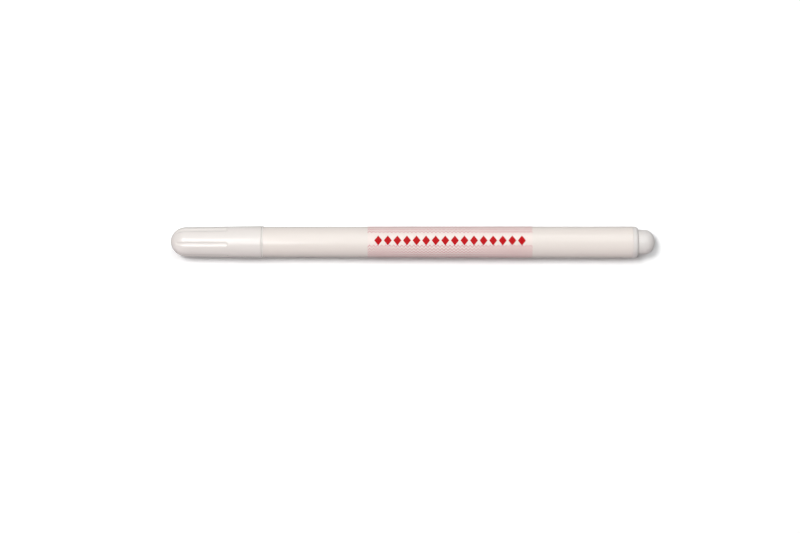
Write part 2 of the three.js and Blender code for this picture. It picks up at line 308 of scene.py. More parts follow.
def soften(*corners, closed=False):
    """Rounds the corners of a profile. A corner is its place along the pen, its radius and its rounding.
    A point on the flat at each side of a rounding keeps the flat's shading flat."""
    points = []
    count = len(corners)
    for i, (along, radius, rounding) in enumerate(corners):
        here = Vector((along, radius))
        if not rounding or (not closed and i in (0, count - 1)):
            points.append(here)
            continue
        before = Vector(corners[i - 1][:2]) - here
        after = Vector(corners[(i + 1) % count][:2]) - here
        reach = min(rounding, CORNER_SHARE * before.length, CORNER_SHARE * after.length)
        start = here + before.normalized() * reach
        end = here + after.normalized() * reach
        if 2 * reach < FULL_SHARE * before.length:
            points.append(here + before.normalized() * GUARD_PLACE * reach)
        for step in range(CORNER_STEPS + 1):
            t = step / CORNER_STEPS
            points.append(start * (1 - t) ** 2 + here * 2 * t * (1 - t) + end * t**2)
        if 2 * reach < FULL_SHARE * after.length:
            points.append(here + after.normalized() * GUARD_PLACE * reach)
    return points


def arc(centre, radial, axial, start, end, steps=ARC_STEPS):
    """A stretch of an ellipse, as corners without rounding. Its centre is a place along the pen and a
    radius. At 0 degrees it is farthest from the axis, at -90 farthest towards the cap and at 90 farthest
    towards the tail."""
    corners = []
    for step in range(steps + 1):
        turn = math.radians(start + (end - start) * step / steps)
        radius = centre[1] + radial * math.cos(turn)
        corners.append((centre[0] + axial * math.sin(turn), radius if radius > WELD else 0.0, 0))
    return corners


def at_angle(along, radius, turn):
    """A point of the pen. The turn is measured from the top, towards +Y. Nothing goes below the table."""
    height = AXIS_HEIGHT + radius * math.cos(turn)
    return Vector((TIP + along, radius * math.sin(turn), max(height, 0.0)))


def turned(profile, segments=SEGMENTS, closed=False, seam=0.0):
    """A smooth solid of revolution round the pen's axis, as a mesh. A closed profile is a ring's section.
    With a seam, in radians, the ring is open below by that much."""
    build = bmesh.new()
    stops = segments + 1 if seam else segments
    sweep = 2 * math.pi - seam
    turns = [seam / 2 - math.pi + sweep * i / segments for i in range(stops)]
    rows = []
    for along, radius in profile:
        if radius == 0:
            rows.append([build.verts.new(at_angle(along, 0, 0))] * stops)
        else:
            rows.append([build.verts.new(at_angle(along, radius, turn)) for turn in turns])
    pairs = list(zip(rows, rows[1:]))
    if closed:
        pairs.append((rows[-1], rows[0]))
    for front, back in pairs:
        for i in range(segments):
            j = (i + 1) % stops
            corners = list(dict.fromkeys([front[i], front[j], back[j], back[i]]))
            if len(corners) > 2:
                build.faces.new(corners)
    if seam:
        build.faces.new([row[0] for row in rows])
        build.faces.new([row[-1] for row in rows])
    bmesh.ops.recalc_face_normals(build, faces=build.faces)
    for face in build.faces:
        face.smooth = True
    mesh = bpy.data.meshes.new("turned")
    build.to_mesh(mesh)
    build.free()
    return mesh


def new_object(name, data):
    """Adds an object to the scene."""
    made = bpy.data.objects.new(name, data)
    bpy.context.scene.collection.objects.link(made)
    return made


def piece(name, mesh, material, body, slot, *nodes):
    """Adds a piece to the scene. It rides on a body, and stands for nodes of the frame."""
    old = bpy.data.objects.get(name)
    if old:
        bpy.data.objects.remove(old)
    mesh.name = name
    if not mesh.materials:
        mesh.materials.append(material)
    made = new_object(name, mesh)
    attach(made, body)
    if nodes:
        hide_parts(*nodes)


# Node trees

FLOAT = "NodeSocketFloat"
GEOMETRY = "NodeSocketGeometry"
MATERIAL = "NodeSocketMaterial"
COLOUR = "NodeSocketColor"
SOCKET_OF = {int: "NodeSocketInt", float: FLOAT, tuple: COLOUR}

# How many nodes stand in a row, and how far apart
NODES_IN_ROW = 10
NODE_STEP = (200, -260)

# The sockets of a Mix node that is set to colours
MIX_SHARE, MIX_FIRST, MIX_SECOND, MIX_RESULT = 0, 6, 7, 2


class Wire:
    """What comes out of a node. Arithmetic on it adds Math nodes to its tree."""

    def __init__(self, socket):
        self.socket = socket
        self.tree = socket.id_data

    def maths(self, operation, *others):
        return maths(self.tree, operation, self, *others)

    def __add__(self, other):
        return self.maths("ADD", other)

    def __sub__(self, other):
        return self.maths("SUBTRACT", other)

    def __mul__(self, other):
        return self.maths("MULTIPLY", other)

    def __truediv__(self, other):
        return self.maths("DIVIDE", other)

    def __pow__(self, other):
        return self.maths("POWER", other)


def add_node(tree, kind, inputs=None, **settings):
    """Adds a node to a tree. An input is a wire to link from, or a value."""
    node = tree.nodes.new(kind)
    row, column = divmod(len(tree.nodes), NODES_IN_ROW)
    node.location = (column * NODE_STEP[0], row * NODE_STEP[1])
    for name, value in settings.items():
        setattr(node, name, value)
    for key, value in (inputs or {}).items():
        if isinstance(value, Wire):
            tree.links.new(value.socket, node.inputs[key])
        else:
            node.inputs[key].default_value = value
    return node


def wire(tree, kind, inputs=None, output=0, **settings):
    """Adds a node to a tree and returns the wire from one of its outputs."""
    return Wire(add_node(tree, kind, inputs, **settings).outputs[output])


def maths(tree, operation, *values):
    """Adds a Math node."""
    return wire(tree, "ShaderNodeMath", dict(enumerate(values)), operation=operation)


def ramp(value, low, high, first, last, smooth=False):
    """Adds a Map Range node that takes low to first and high to last."""
    inputs = {"Value": value, "From Min": low, "From Max": high, "To Min": first, "To Max": last}
    shape = "SMOOTHSTEP" if smooth else "LINEAR"
    return wire(value.tree, "ShaderNodeMapRange", inputs, interpolation_type=shape)


def scaled(vector, amount):
    """A vector or colour times a number."""
    return wire(vector.tree, "ShaderNodeVectorMath", {0: vector, "Scale": amount}, operation="SCALE")


def combined(tree, x=0.0, y=0.0, z=0.0):
    """A vector of three numbers."""
    return wire(tree, "ShaderNodeCombineXYZ", {"X": x, "Y": y, "Z": z})


def mixed_colour(tree, share, first, second):
    """One colour that turns into another as the share goes from 0 to 1."""
    inputs = {MIX_SHARE: share, MIX_FIRST: first, MIX_SECOND: second}
    return wire(tree, "ShaderNodeMix", inputs, MIX_RESULT, data_type="RGBA")


def new_group(name, kind, inputs, outputs):
    """Makes a node group. An input is given by the value it starts from, or by its socket type, as an
    output is. The wire from an input is looked up by its name."""
    group = bpy.data.node_groups.new(name, kind)
    for label, value in inputs.items():
        typed = isinstance(value, str)
        socket = value if typed else SOCKET_OF[type(value)]
        made = group.interface.new_socket(name=label, in_out="INPUT", socket_type=socket)
        if not typed:
            made.default_value = value
    for label, socket in outputs.items():
        group.interface.new_socket(name=label, in_out="OUTPUT", socket_type=socket)
    entry = add_node(group, "NodeGroupInput")

    def given(label):
        return Wire(entry.outputs[label])

    return group, given


def geometry_tree(name, inputs):
    """Starts a geometry tree."""
    return new_group(name, "GeometryNodeTree", inputs, {"Geometry": GEOMETRY})


def finish_tree(tree, geometry, material):
    """Ends a geometry tree: the instances are made real and the material is set."""
    real = wire(tree, "GeometryNodeRealizeInstances", {"Geometry": geometry})
    dressed = wire(tree, "GeometryNodeSetMaterial", {"Geometry": real, "Material": material})
    add_node(tree, "NodeGroupOutput", {"Geometry": dressed})
    return tree


def grown(name, tree, values, start=None):
    """Runs a geometry tree and returns what it makes as a plain mesh. The values are named as the tree's
    inputs are."""
    carrier = new_object(name, start or bpy.data.meshes.new(name))
    modifier = carrier.modifiers.new(tree.name, "NODES")
    modifier.node_group = tree
    sockets = [item for item in tree.interface.items_tree if item.item_type == "SOCKET"]
    labels = {item.name: item.identifier for item in sockets if item.in_out == "INPUT"}
    for label, value in values.items():
        modifier[labels[label]] = value
    result = carrier.evaluated_get(bpy.context.evaluated_depsgraph_get())
    mesh = bpy.data.meshes.new_from_object(result)
    carrier.modifiers.remove(modifier)
    bpy.data.objects.remove(carrier)
    return mesh


def position(tree):
    """The X, Y and Z of each point."""
    place = wire(tree, "GeometryNodeInputPosition")
    split = add_node(tree, "ShaderNodeSeparateXYZ", {0: place})
    return [Wire(output) for output in split.outputs]


def set_points(tree, geometry, **where):
    """Moves the points of a geometry to a Position, or by an Offset."""
    return wire(tree, "GeometryNodeSetPosition", {"Geometry": geometry, **where})


def points_in_line(tree, count, first, step):
    """A line of points."""
    inputs = {"Count": count, "Start Location": first, "Offset": step}
    return wire(tree, "GeometryNodeMeshLine", inputs, mode="OFFSET")


def repeated(tree, points, shape):
    """A copy of a flat shape on each point."""
    placed = wire(tree, "GeometryNodeInstanceOnPoints", {"Points": points, "Instance": shape})
    return wire(tree, "GeometryNodeRealizeInstances", {"Geometry": placed})


FLUTE_SIZES = ("Start", "End", "Width", "Tip width", "Taper", "Depth", "Side", "Turn")
FLUTE_INPUTS = {
    "Geometry": GEOMETRY,
    "Count": 6,
    **dict.fromkeys((*FLUTE_SIZES, "Tip place", "Axis height"), 0.0),
    "Material": MATERIAL,
}


def flute_tree():
    """Presses flutes into a round cap, where its points are marked as its outside."""
    tree, given = geometry_tree("Pressed flutes", FLUTE_INPUTS)
    x, y, z = position(tree)
    along = x - given("Tip place")
    height = z - given("Axis height")
    turn = y.maths("ARCTAN2", height)
    half_sector = maths(tree, "DIVIDE", math.pi, given("Count"))
    from_flute = (turn - given("Turn")).maths("WRAP", half_sector, half_sector * -1.0)
    radius = (y**2.0 + height**2.0).maths("SQRT")
    sideways = radius * from_flute.maths("SINE")
    half_width = given("Width") / 2.0
    taper_end = given("Start") + given("Taper")
    half_here = ramp(along, given("Start"), taper_end, given("Tip width") / 2.0, half_width)
    past_centre = (along - (given("End") - half_width)).maths("MAXIMUM", 0.0)
    reach = (sideways**2.0 + past_centre**2.0).maths("SQRT")
    inside = (half_here - reach).maths("MINIMUM", along - given("Start"))
    pressed = ramp(inside, 0.0, given("Side"), 0.0, 1.0, smooth=True)
    outside = wire(tree, "GeometryNodeInputNamedAttribute", {"Name": "outside"}, "Attribute")
    drop = pressed * outside * given("Depth")
    push = scaled(wire(tree, "GeometryNodeInputNormal"), drop * -1.0)
    return finish_tree(tree, set_points(tree, given("Geometry"), Offset=push), given("Material"))


PRINT_SIZES = ("Start", "Length", "Front radius", "Rear radius", "Tip place", "Axis height", "Thickness")
PRINT_INPUTS = {**dict.fromkeys(PRINT_SIZES, 0.0), "Material": MATERIAL}


def wrap_print(tree, given, flat):
    """Lays flat print round the barrel and gives it its thickness. In the flat print X runs along the
    barrel from the print's start, and Y round it from the top, measured at the front radius."""
    x, y, _ = position(tree)
    radius = ramp(x, 0.0, given("Length"), given("Front radius"), given("Rear radius"))
    turn = y / given("Front radius")
    along = x + given("Start") + given("Tip place")
    up = radius * turn.maths("COSINE") + given("Axis height")
    spot = combined(tree, along, radius * turn.maths("SINE"), up)
    laid = set_points(tree, flat, Position=spot)
    thick = {"Mesh": laid, "Offset Scale": given("Thickness"), "Individual": False}
    lifted = wire(tree, "GeometryNodeExtrudeMesh", thick, mode="FACES")
    underside = wire(tree, "GeometryNodeFlipFaces", {"Mesh": laid})
    both = add_node(tree, "GeometryNodeJoinGeometry")
    for side in (underside, lifted):
        tree.links.new(side.socket, both.inputs[0])
    joined = Wire(both.outputs[0])
    welded = wire(tree, "GeometryNodeMergeByDistance", {"Geometry": joined, "Distance": WELD})
    return finish_tree(tree, welded, given("Material"))


ZIGZAG_SIZES = ("Height", "Line", "First turn", "Last turn", "Seam")
ZIGZAG_INPUTS = {**PRINT_INPUTS, "Count": 1, "Rows": 2, **dict.fromkeys(ZIGZAG_SIZES, 0.0)}
STEPS_PER_ZIGZAG = 4.0


def zigzag_tree():
    """Rows of zigzags printed side by side round the barrel."""
    tree, given = geometry_tree("Zigzag rows", ZIGZAG_INPUTS)
    size = {
        "Size X": given("Length"),
        "Size Y": given("Line"),
        "Vertices X": given("Count") * STEPS_PER_ZIGZAG + 1.0,
        "Vertices Y": 2,
    }
    strip = wire(tree, "GeometryNodeMeshGrid", size)
    half_length = given("Length") / 2.0
    half_period = given("Length") / given("Count") / 2.0
    from_start = position(tree)[0] + half_length
    rise = from_start.maths("PINGPONG", half_period) / half_period * given("Height")
    bent = set_points(tree, strip, Offset=combined(tree, half_length, rise))
    first = given("First turn") * given("Front radius")
    last = given("Last turn") * given("Front radius")
    pitch = (last - first) / (given("Rows") - 1.0)
    rows = points_in_line(tree, given("Rows"), combined(tree, y=first), combined(tree, y=pitch))
    foot = given("Front radius") * -math.pi
    keep_off = given("Seam") / 2.0 + given("Height")
    on_seam = (position(tree)[1] - foot).maths("ABSOLUTE").maths("LESS_THAN", keep_off)
    kept = wire(tree, "GeometryNodeDeleteGeometry", {"Geometry": rows, "Selection": on_seam}, domain="POINT")
    return wrap_print(tree, given, repeated(tree, kept, bent))


DIAMOND_SIZES = ("Inset", "Width", "Height", "Turn")
DIAMOND_INPUTS = {**PRINT_INPUTS, "Count": 1, "Fineness": 13, **dict.fromkeys(DIAMOND_SIZES, 0.0)}


def diamond_tree():
    """A row of diamonds printed along the barrel."""
    tree, given = geometry_tree("Diamond row", DIAMOND_INPUTS)
    size = {"Size X": 1.0, "Size Y": 1.0, "Vertices X": given("Fineness"), "Vertices Y": given("Fineness")}
    square = wire(tree, "GeometryNodeMeshGrid", size)
    x, y, _ = position(tree)
    half_width = given("Width") / 2.0
    corner = combined(tree, (x - y) * half_width, (x + y) * (given("Height") / 2.0))
    diamond = set_points(tree, square, Position=corner)
    free = given("Length") - (given("Inset") * 2.0 + given("Width"))
    pitch = free / (given("Count") - 1.0)
    first = combined(tree, given("Inset") + half_width, given("Turn") * given("Front radius"))
    row = points_in_line(tree, given("Count"), first, combined(tree, pitch))
    return wrap_print(tree, given, repeated(tree, row, diamond))


# Materials

# How far a pattern is squeezed, along the pen and across it, so that it runs along the pen
FLOW_SQUEEZE = (60.0, 420.0, 420.0)
RUB_SQUEEZE = (140.0, 900.0, 900.0)
SCRATCH_SQUEEZE = (400.0, 9000.0, 9000.0)

# The fibres' squeeze along the pen, as a share of their squeeze across it
STRAND_SQUEEZE = 0.04

# How deep the scratches are beside the orange peel, and how much the ink's speckle changes its gloss
SCRATCH_SHARE = 0.15
SPECKLE_GLOSS = 0.3

INK_BUMP = 1e-6
NOISE_MIDDLE = 0.5


def noise(tree, vector, scale=1.0, detail=2.0, roughness=0.5):
    """Noise between 0 and 1."""
    inputs = {"Vector": vector, "Scale": scale, "Detail": detail, "Roughness": roughness}
    return wire(tree, "ShaderNodeTexNoise", inputs, "Fac")


def squeezed(vector, squeeze):
    """Coordinates squeezed along the pen and across it."""
    return wire(vector.tree, "ShaderNodeMapping", {"Vector": vector, "Scale": squeeze})


def surface_group(name, inputs):
    """Starts a shader group for a surface, and gives the place on the piece as well."""
    outputs = {"Color": COLOUR, "Roughness": FLOAT, "Height": FLOAT}
    group, given = new_group(name, "ShaderNodeTree", inputs, outputs)
    return group, given, wire(group, "ShaderNodeTexCoord", output="Object")


def moulded_surface(name):
    """Moulded plastic: faint flow marks along the pen, a trace of orange peel and rubbed patches."""
    inputs = {"Color": (0.8, 0.8, 0.8, 1.0), "Flow": 0.03, "Gloss": 0.3, "Rub": 0.06, "Peel size": 900.0}
    group, given, place = surface_group(name, inputs)
    flow = noise(group, squeezed(place, FLOW_SQUEEZE), detail=3.0, roughness=0.55)
    rubbed = noise(group, squeezed(place, RUB_SQUEEZE), detail=6.0, roughness=0.7)
    peel = noise(group, place, scale=given("Peel size"))
    scratches = noise(group, squeezed(place, SCRATCH_SQUEEZE))
    outputs = {
        "Color": scaled(given("Color"), (flow - NOISE_MIDDLE) * given("Flow") + 1.0),
        "Roughness": given("Gloss") + (rubbed - NOISE_MIDDLE) * given("Rub"),
        "Height": peel + scratches * SCRATCH_SHARE,
    }
    add_node(group, "NodeGroupOutput", outputs)
    return group


def bonded_fibre(name):
    """Straight fibres bonded side by side along the pen, with painted shade in the gaps between strands."""
    inputs = {"Color": (0.1, 0.4, 0.7, 1.0), "Strands": 9000.0, "Contrast": 0.5}
    group, given, place = surface_group(name, inputs)
    scale = combined(group, given("Strands") * STRAND_SQUEEZE, given("Strands"), given("Strands"))
    drawn = wire(group, "ShaderNodeVectorMath", {0: place, 1: scale}, operation="MULTIPLY")
    strands = noise(group, drawn, detail=4.0, roughness=0.65)
    soak = noise(group, place, scale=180.0, detail=3.0)
    # Painted shade: the colour darkens where the strands' bump is low, between them; the soak noise adds
    # real ink tone
    painted_gap_shade_and_soak = (strands + soak - 2 * NOISE_MIDDLE) * given("Contrast")
    outputs = {
        "Color": scaled(given("Color"), painted_gap_shade_and_soak + 1.0),
        "Roughness": ramp(soak, low=0.3, high=0.7, first=0.65, last=0.9),
        "Height": strands,
    }
    add_node(group, "NodeGroupOutput", outputs)
    return group


def screen_print(name):
    """Ink laid through a fine screen: a little thinner here and there, with a soft speckle."""
    ground = (0.8, 0.8, 0.8, 1.0)
    inputs = {"Color": (0.6, 0.0, 0.0, 1.0), "Ground": ground, "Thinness": 0.15, "Gloss": 0.36}
    group, given, place = surface_group(name, inputs)
    speckle = noise(group, place, scale=7000.0)
    patches = noise(group, place, scale=250.0)
    thin = ramp(speckle * patches, low=0.15, high=0.4, first=0.0, last=1.0) * given("Thinness")
    outputs = {
        "Color": mixed_colour(group, thin, given("Color"), given("Ground")),
        "Roughness": given("Gloss") + (speckle - NOISE_MIDDLE) * SPECKLE_GLOSS,
        "Height": speckle,
    }
    add_node(group, "NodeGroupOutput", outputs)
    return group


def shared_group(name, build):
    """A shader group, built once and used by several materials."""
    return bpy.data.node_groups.get(name) or build(name)


def emptied(owner):
    """The node tree of a new material or world, with nothing in it."""
    owner.use_nodes = True
    owner.node_tree.nodes.clear()
    return owner.node_tree


def new_material(name, group, values, bump, shader=None):
    """A material whose colour, roughness and bump come from a shared group. The other values are set on
    the shader itself."""
    old = bpy.data.materials.get(name)
    if old:
        bpy.data.materials.remove(old)
    material = bpy.data.materials.new(name)
    tree = emptied(material)
    pattern = add_node(tree, "ShaderNodeGroup", values, node_tree=group)
    tone, roughness, height = [Wire(output) for output in pattern.outputs]
    relief = wire(tree, "ShaderNodeBump", {"Strength": 1.0, "Distance": bump, "Height": height})
    look = {"Base Color": tone, "Roughness": roughness, "Normal": relief, **(shader or {})}
    surface = wire(tree, "ShaderNodeBsdfPrincipled", look)
    add_node(tree, "ShaderNodeOutputMaterial", {"Surface": surface})
    return material


def plastic(name, tint, gloss, peel_size=900.0, bump=2e-6, shader=None):
    """Moulded plastic of one tint and gloss."""
    group = shared_group("Moulded surface", moulded_surface)
    values = {"Color": (*tint, 1.0), "Gloss": gloss, "Peel size": peel_size}
    return new_material(name, group, values, bump, shader)


def fibre(name, tint, strands, contrast, bump):
    """Bonded fibre soaked with ink."""
    group = shared_group("Bonded fibre", bonded_fibre)
    values = {"Color": (*tint, 1.0), "Strands": strands, "Contrast": contrast}
    return new_material(name, group, values, bump)


def ink(name, tint, ground, thinness, gloss, shader=None):
    """Printed ink of one tint, through which a little of the ground shows."""
    group = shared_group("Screen print", screen_print)
    values = {"Color": (*tint, 1.0), "Ground": (*ground, 1.0), "Thinness": thinness, "Gloss": gloss}
    return new_material(name, group, values, INK_BUMP, shader)


# Pieces of the cap


def cap_radius(sizes, along):
    """Radius of the cap's outside."""
    if along < sizes.dome_length:
        share = 1 - along / sizes.dome_length
        return sizes.dome_radius * math.sqrt(max(1 - share**2, 0))
    share = (along - sizes.dome_length) / (CAP_END - sizes.rim_band - sizes.dome_length)
    return sizes.dome_radius + (RIM_RADIUS - sizes.dome_radius) * min(share, 1)


def cap_outside(sizes, flutes):
    """The cap's outside from its tip to its rim, with close rows where the flutes are pressed in."""
    rows = []
    for step in range(ARC_STEPS + 1):
        along = sizes.dome_length * (1 - math.cos(math.radians(90 * step / ARC_STEPS)))
        if along < flutes.start - 3 * FLUTE_ROW:
            rows.append((along, cap_radius(sizes, along)))
    along = flutes.start - 2 * FLUTE_ROW
    while along < flutes.end + 3 * FLUTE_ROW:
        rows.append((along, cap_radius(sizes, along)))
        along += FLUTE_ROW
    band_start = CAP_END - sizes.rim_band
    for share in PLAIN_ROWS:
        plain = flutes.end + (band_start - flutes.end) * share
        rows.append((plain, cap_radius(sizes, plain)))
    return rows


class FABRICPEN_OT_make_cap(bpy.types.Operator):
    """Makes the push-on cap with its pressed flutes"""

    bl_idname = "fabric_pen.make_cap"
    bl_label = "Cap"

    def execute(self, context):
        pen = context.scene.fabric_pen
        sizes = pen.cap
        outside = cap_outside(sizes, pen.flutes)
        mouth = RIM_RADIUS - sizes.rim_wall
        mouth_start = CAP_END - sizes.mouth_depth
        bore = sizes.dome_radius - sizes.wall
        groove_end = CAP_END - pen.section.bead_place + pen.section.bead_width / 2
        groove_start = groove_end - pen.section.bead_width
        groove = mouth + sizes.groove_depth
        edge = 0.09 * MM
        lip = 0.2 * MM
        gap = 0.05 * MM
        inside = soften(
            (*outside[-1], 0),
            (CAP_END - gap, RIM_RADIUS, lip),
            (CAP_END - gap, mouth, 1.5 * edge),
            (groove_end + sizes.groove_depth, mouth, edge),
            (groove_end, groove, edge),
            (groove_start, groove, edge),
            (groove_start - sizes.groove_depth, mouth, edge),
            (mouth_start, mouth, edge),
            (mouth_start, bore, edge),
            *arc((sizes.dome_length, 0), bore, sizes.dome_length - sizes.wall, 0, -90),
        )
        start = turned([*outside, *inside[1:]], CAP_SEGMENTS)
        marks = start.attributes.new("outside", "FLOAT", "POINT")
        tip_count = 1
        outer_count = tip_count + (len(outside) - 1) * CAP_SEGMENTS
        marks.data.foreach_set("value", [float(i < outer_count) for i in range(len(start.vertices))])
        material = plastic("Cap plastic", pen.colours.cap, gloss=0.22, bump=2.5e-6)
        values = {"Tip place": TIP, "Axis height": AXIS_HEIGHT, "Material": material}
        for label in ("Count", *FLUTE_SIZES):
            values[label] = getattr(pen.flutes, label.lower().replace(" ", "_"))
        mesh = grown("fluted_cap", flute_tree(), values, start)
        mesh.attributes.remove(mesh.attributes["outside"])
        piece("fluted_cap", mesh, material, "cap", "cap", "cap_shell")
        return {"FINISHED"}


class FABRICPEN_OT_make_inner_cap(bpy.types.Operator):
    """Makes the soft inner cap that seals round the front section"""

    bl_idname = "fabric_pen.make_inner_cap"
    bl_label = "Inner cap"

    def execute(self, context):
        pen = context.scene.fabric_pen
        sizes = pen.cap
        radius = sizes.dome_radius - sizes.wall - sizes.press_gap
        dome = sizes.dome_length - sizes.wall - sizes.press_gap
        bore = radius - sizes.liner_wall
        flange = RIM_RADIUS - sizes.rim_wall - sizes.press_gap
        edge = 0.08 * MM
        profile = soften(
            *arc((sizes.dome_length, 0), radius, dome, -90, 0),
            (LINER_END - sizes.liner_flange, radius, edge),
            (LINER_END - sizes.liner_flange, flange, edge),
            (LINER_END, flange, edge),
            (LINER_END, bore, 2 * edge),
            *arc((sizes.dome_length, 0), bore, dome - sizes.liner_wall, 0, -90),
        )
        tint = pen.colours.liner
        material = plastic("Inner cap plastic", tint, gloss=0.42, peel_size=500.0, bump=4e-6)
        piece("inner_cap", turned(profile), material, "cap", "liner", "cap_liner")
        return {"FINISHED"}


# Pieces of the front


def barrel_radius(sizes, along):
    """Radius of the barrel's outside."""
    share = (along - BARREL_START) / (BARREL_END - BARREL_START)
    return sizes.front_radius + (REAR_RADIUS - sizes.front_radius) * share


def pressed_radius(barrel, along, gap):
    """Radius of what is pressed into the barrel."""
    return barrel_radius(barrel, along) - barrel.wall - gap


def socket_radius(sizes):
    """Radius of the sockets that hold the ink core and its wrap."""
    return CORE_RADIUS + 2 * sizes.wrap_gap + sizes.wrap_thickness


class FABRICPEN_OT_make_front_section(bpy.types.Operator):
    """Makes the front section: the nose, the sealing collar, the neck with its snap bead, and the flange"""

    bl_idname = "fabric_pen.make_front_section"
    bl_label = "Front section"

    def execute(self, context):
        pen = context.scene.fabric_pen
        sizes = pen.section
        gap = pen.cap.press_gap
        flange_front = BARREL_START - sizes.flange
        bead = flange_front - sizes.bead_place
        bead_half = sizes.bead_width / 2
        nib_bore = NIB_RADIUS + sizes.nib_gap
        nose_bore_end = NOSE_START + sizes.nose_bore
        socket = socket_radius(pen.barrel)
        socket_start = SPIGOT_END - sizes.socket
        chamfer = 0.4 * MM
        edge = 0.08 * MM
        profile = soften(
            (NOSE_START, nib_bore, edge),
            (NOSE_START, sizes.nose_radius, 2 * edge),
            (sizes.collar_start, sizes.collar_radius - chamfer, 2 * edge),
            (sizes.collar_start + chamfer, sizes.collar_radius, 2 * edge),
            (sizes.neck_start, sizes.collar_radius, edge),
            (sizes.neck_start, sizes.neck_radius, 2 * edge),
            (bead - bead_half, sizes.neck_radius, 2 * edge),
            (bead, sizes.neck_radius + sizes.bead_height, 3 * edge),
            (bead + bead_half, sizes.neck_radius, 2 * edge),
            (flange_front, sizes.neck_radius, edge),
            (flange_front, RIM_RADIUS, 1.8 * edge),
            (BARREL_START, RIM_RADIUS, edge),
            (BARREL_START, pressed_radius(pen.barrel, BARREL_START, gap), edge),
            (SPIGOT_END, pressed_radius(pen.barrel, SPIGOT_END, gap), 2 * edge),
            (SPIGOT_END, socket, edge),
            (socket_start, socket, edge),
            (socket_start, sizes.ink_path, edge),
            (nose_bore_end, sizes.ink_path, edge),
            (nose_bore_end, nib_bore, edge),
            closed=True,
        )
        material = plastic("Front section plastic", pen.colours.section, gloss=0.24)
        mesh = turned(profile, closed=True)
        piece("nose_and_flange", mesh, material, "barrel", "section", "front_section")
        return {"FINISHED"}


class FABRICPEN_OT_make_nib(bpy.types.Operator):
    """Makes the fibre nib with its rounded point"""

    bl_idname = "fabric_pen.make_nib"
    bl_label = "Nib"

    def execute(self, context):
        pen = context.scene.fabric_pen
        sizes = pen.section
        point = sizes.nib_point_radius
        shoulder = 0.5 * MM
        edge = 0.1 * MM
        profile = soften(
            *arc((NIB_START + point, 0), point, point, -90, 0, POINT_STEPS),
            (NIB_START + sizes.nib_point, NIB_RADIUS, shoulder),
            (NIB_END, NIB_RADIUS, edge),
            (NIB_END, 0.0, 0),
        )
        material = fibre("Nib fibre", pen.colours.nib, strands=14000.0, contrast=0.6, bump=1.2e-5)
        piece("fibre_nib", turned(profile, FIBRE_SEGMENTS), material, "barrel", "nib", "nib")
        return {"FINISHED"}


# Pieces of the barrel


class FABRICPEN_OT_make_barrel(bpy.types.Operator):
    """Makes the slightly tapered barrel"""

    bl_idname = "fabric_pen.make_barrel"
    bl_label = "Barrel"

    def execute(self, context):
        pen = context.scene.fabric_pen
        sizes = pen.barrel
        rear = barrel_radius(sizes, BARREL_END)
        edge = 0.06 * MM
        lip = 0.16 * MM
        profile = soften(
            (BARREL_START, sizes.front_radius - sizes.wall, edge),
            (BARREL_START, sizes.front_radius, edge),
            (BARREL_END, rear, lip),
            (BARREL_END, rear - sizes.wall, edge),
            closed=True,
        )
        material = plastic("Barrel plastic", pen.colours.barrel, gloss=0.17)
        piece("barrel_tube", turned(profile, closed=True), material, "barrel", "barrel", "barrel")
        return {"FINISHED"}


class FABRICPEN_OT_make_film(bpy.types.Operator):
    """Makes the thin film round the barrel, open along a seam below"""

    bl_idname = "fabric_pen.make_film"
    bl_label = "Film"

    def execute(self, context):
        pen = context.scene.fabric_pen
        sizes = pen.barrel
        front = barrel_radius(sizes, LABEL_START) + sizes.film_gap
        rear = barrel_radius(sizes, LABEL_END) + sizes.film_gap
        edge = 0.012 * MM
        profile = soften(
            (LABEL_START, front, edge),
            (LABEL_START, front + sizes.film_thickness, edge),
            (LABEL_END, rear + sizes.film_thickness, edge),
            (LABEL_END, rear, edge),
            closed=True,
        )
        mesh = turned(profile, closed=True, seam=sizes.film_seam / front)
        material = plastic("Film", pen.colours.film, gloss=0.2, peel_size=250.0, bump=3e-6)
        piece("clear_film", mesh, material, "barrel", "label", "barrel_label")
        return {"FINISHED"}


def print_values(pen, material):
    """The inputs that both prints share: where the film's surface is, and how thick the ink is."""
    sizes = pen.barrel
    lift = sizes.film_gap + sizes.film_thickness + pen.prints.ink_gap
    return {
        "Start": LABEL_START,
        "Length": LABEL_END - LABEL_START,
        "Front radius": barrel_radius(sizes, LABEL_START) + lift,
        "Rear radius": barrel_radius(sizes, LABEL_END) + lift,
        "Tip place": TIP,
        "Axis height": AXIS_HEIGHT,
        "Thickness": pen.prints.ink_thickness,
        "Material": material,
    }


class FABRICPEN_OT_make_zigzags(bpy.types.Operator):
    """Prints the rows of pink zigzags on the film, round all but the bare stripe"""

    bl_idname = "fabric_pen.make_zigzags"
    bl_label = "Zigzag print"

    def execute(self, context):
        pen = context.scene.fabric_pen
        prints = pen.prints
        tints = (pen.colours.zigzag, pen.colours.film)
        material = ink("Zigzag ink", *tints, thinness=0.2, gloss=0.34)
        values = print_values(pen, material) | {
            "Count": prints.zigzag_count,
            "Rows": prints.row_count,
            "Height": prints.zigzag_height,
            "Line": prints.zigzag_line,
            "First turn": prints.stripe_foot,
            "Last turn": prints.stripe_top - 2 * math.pi,
            "Seam": pen.barrel.film_seam,
        }
        mesh = grown("zigzag_print", zigzag_tree(), values)
        piece("zigzag_print", mesh, material, "barrel", "label")
        return {"FINISHED"}


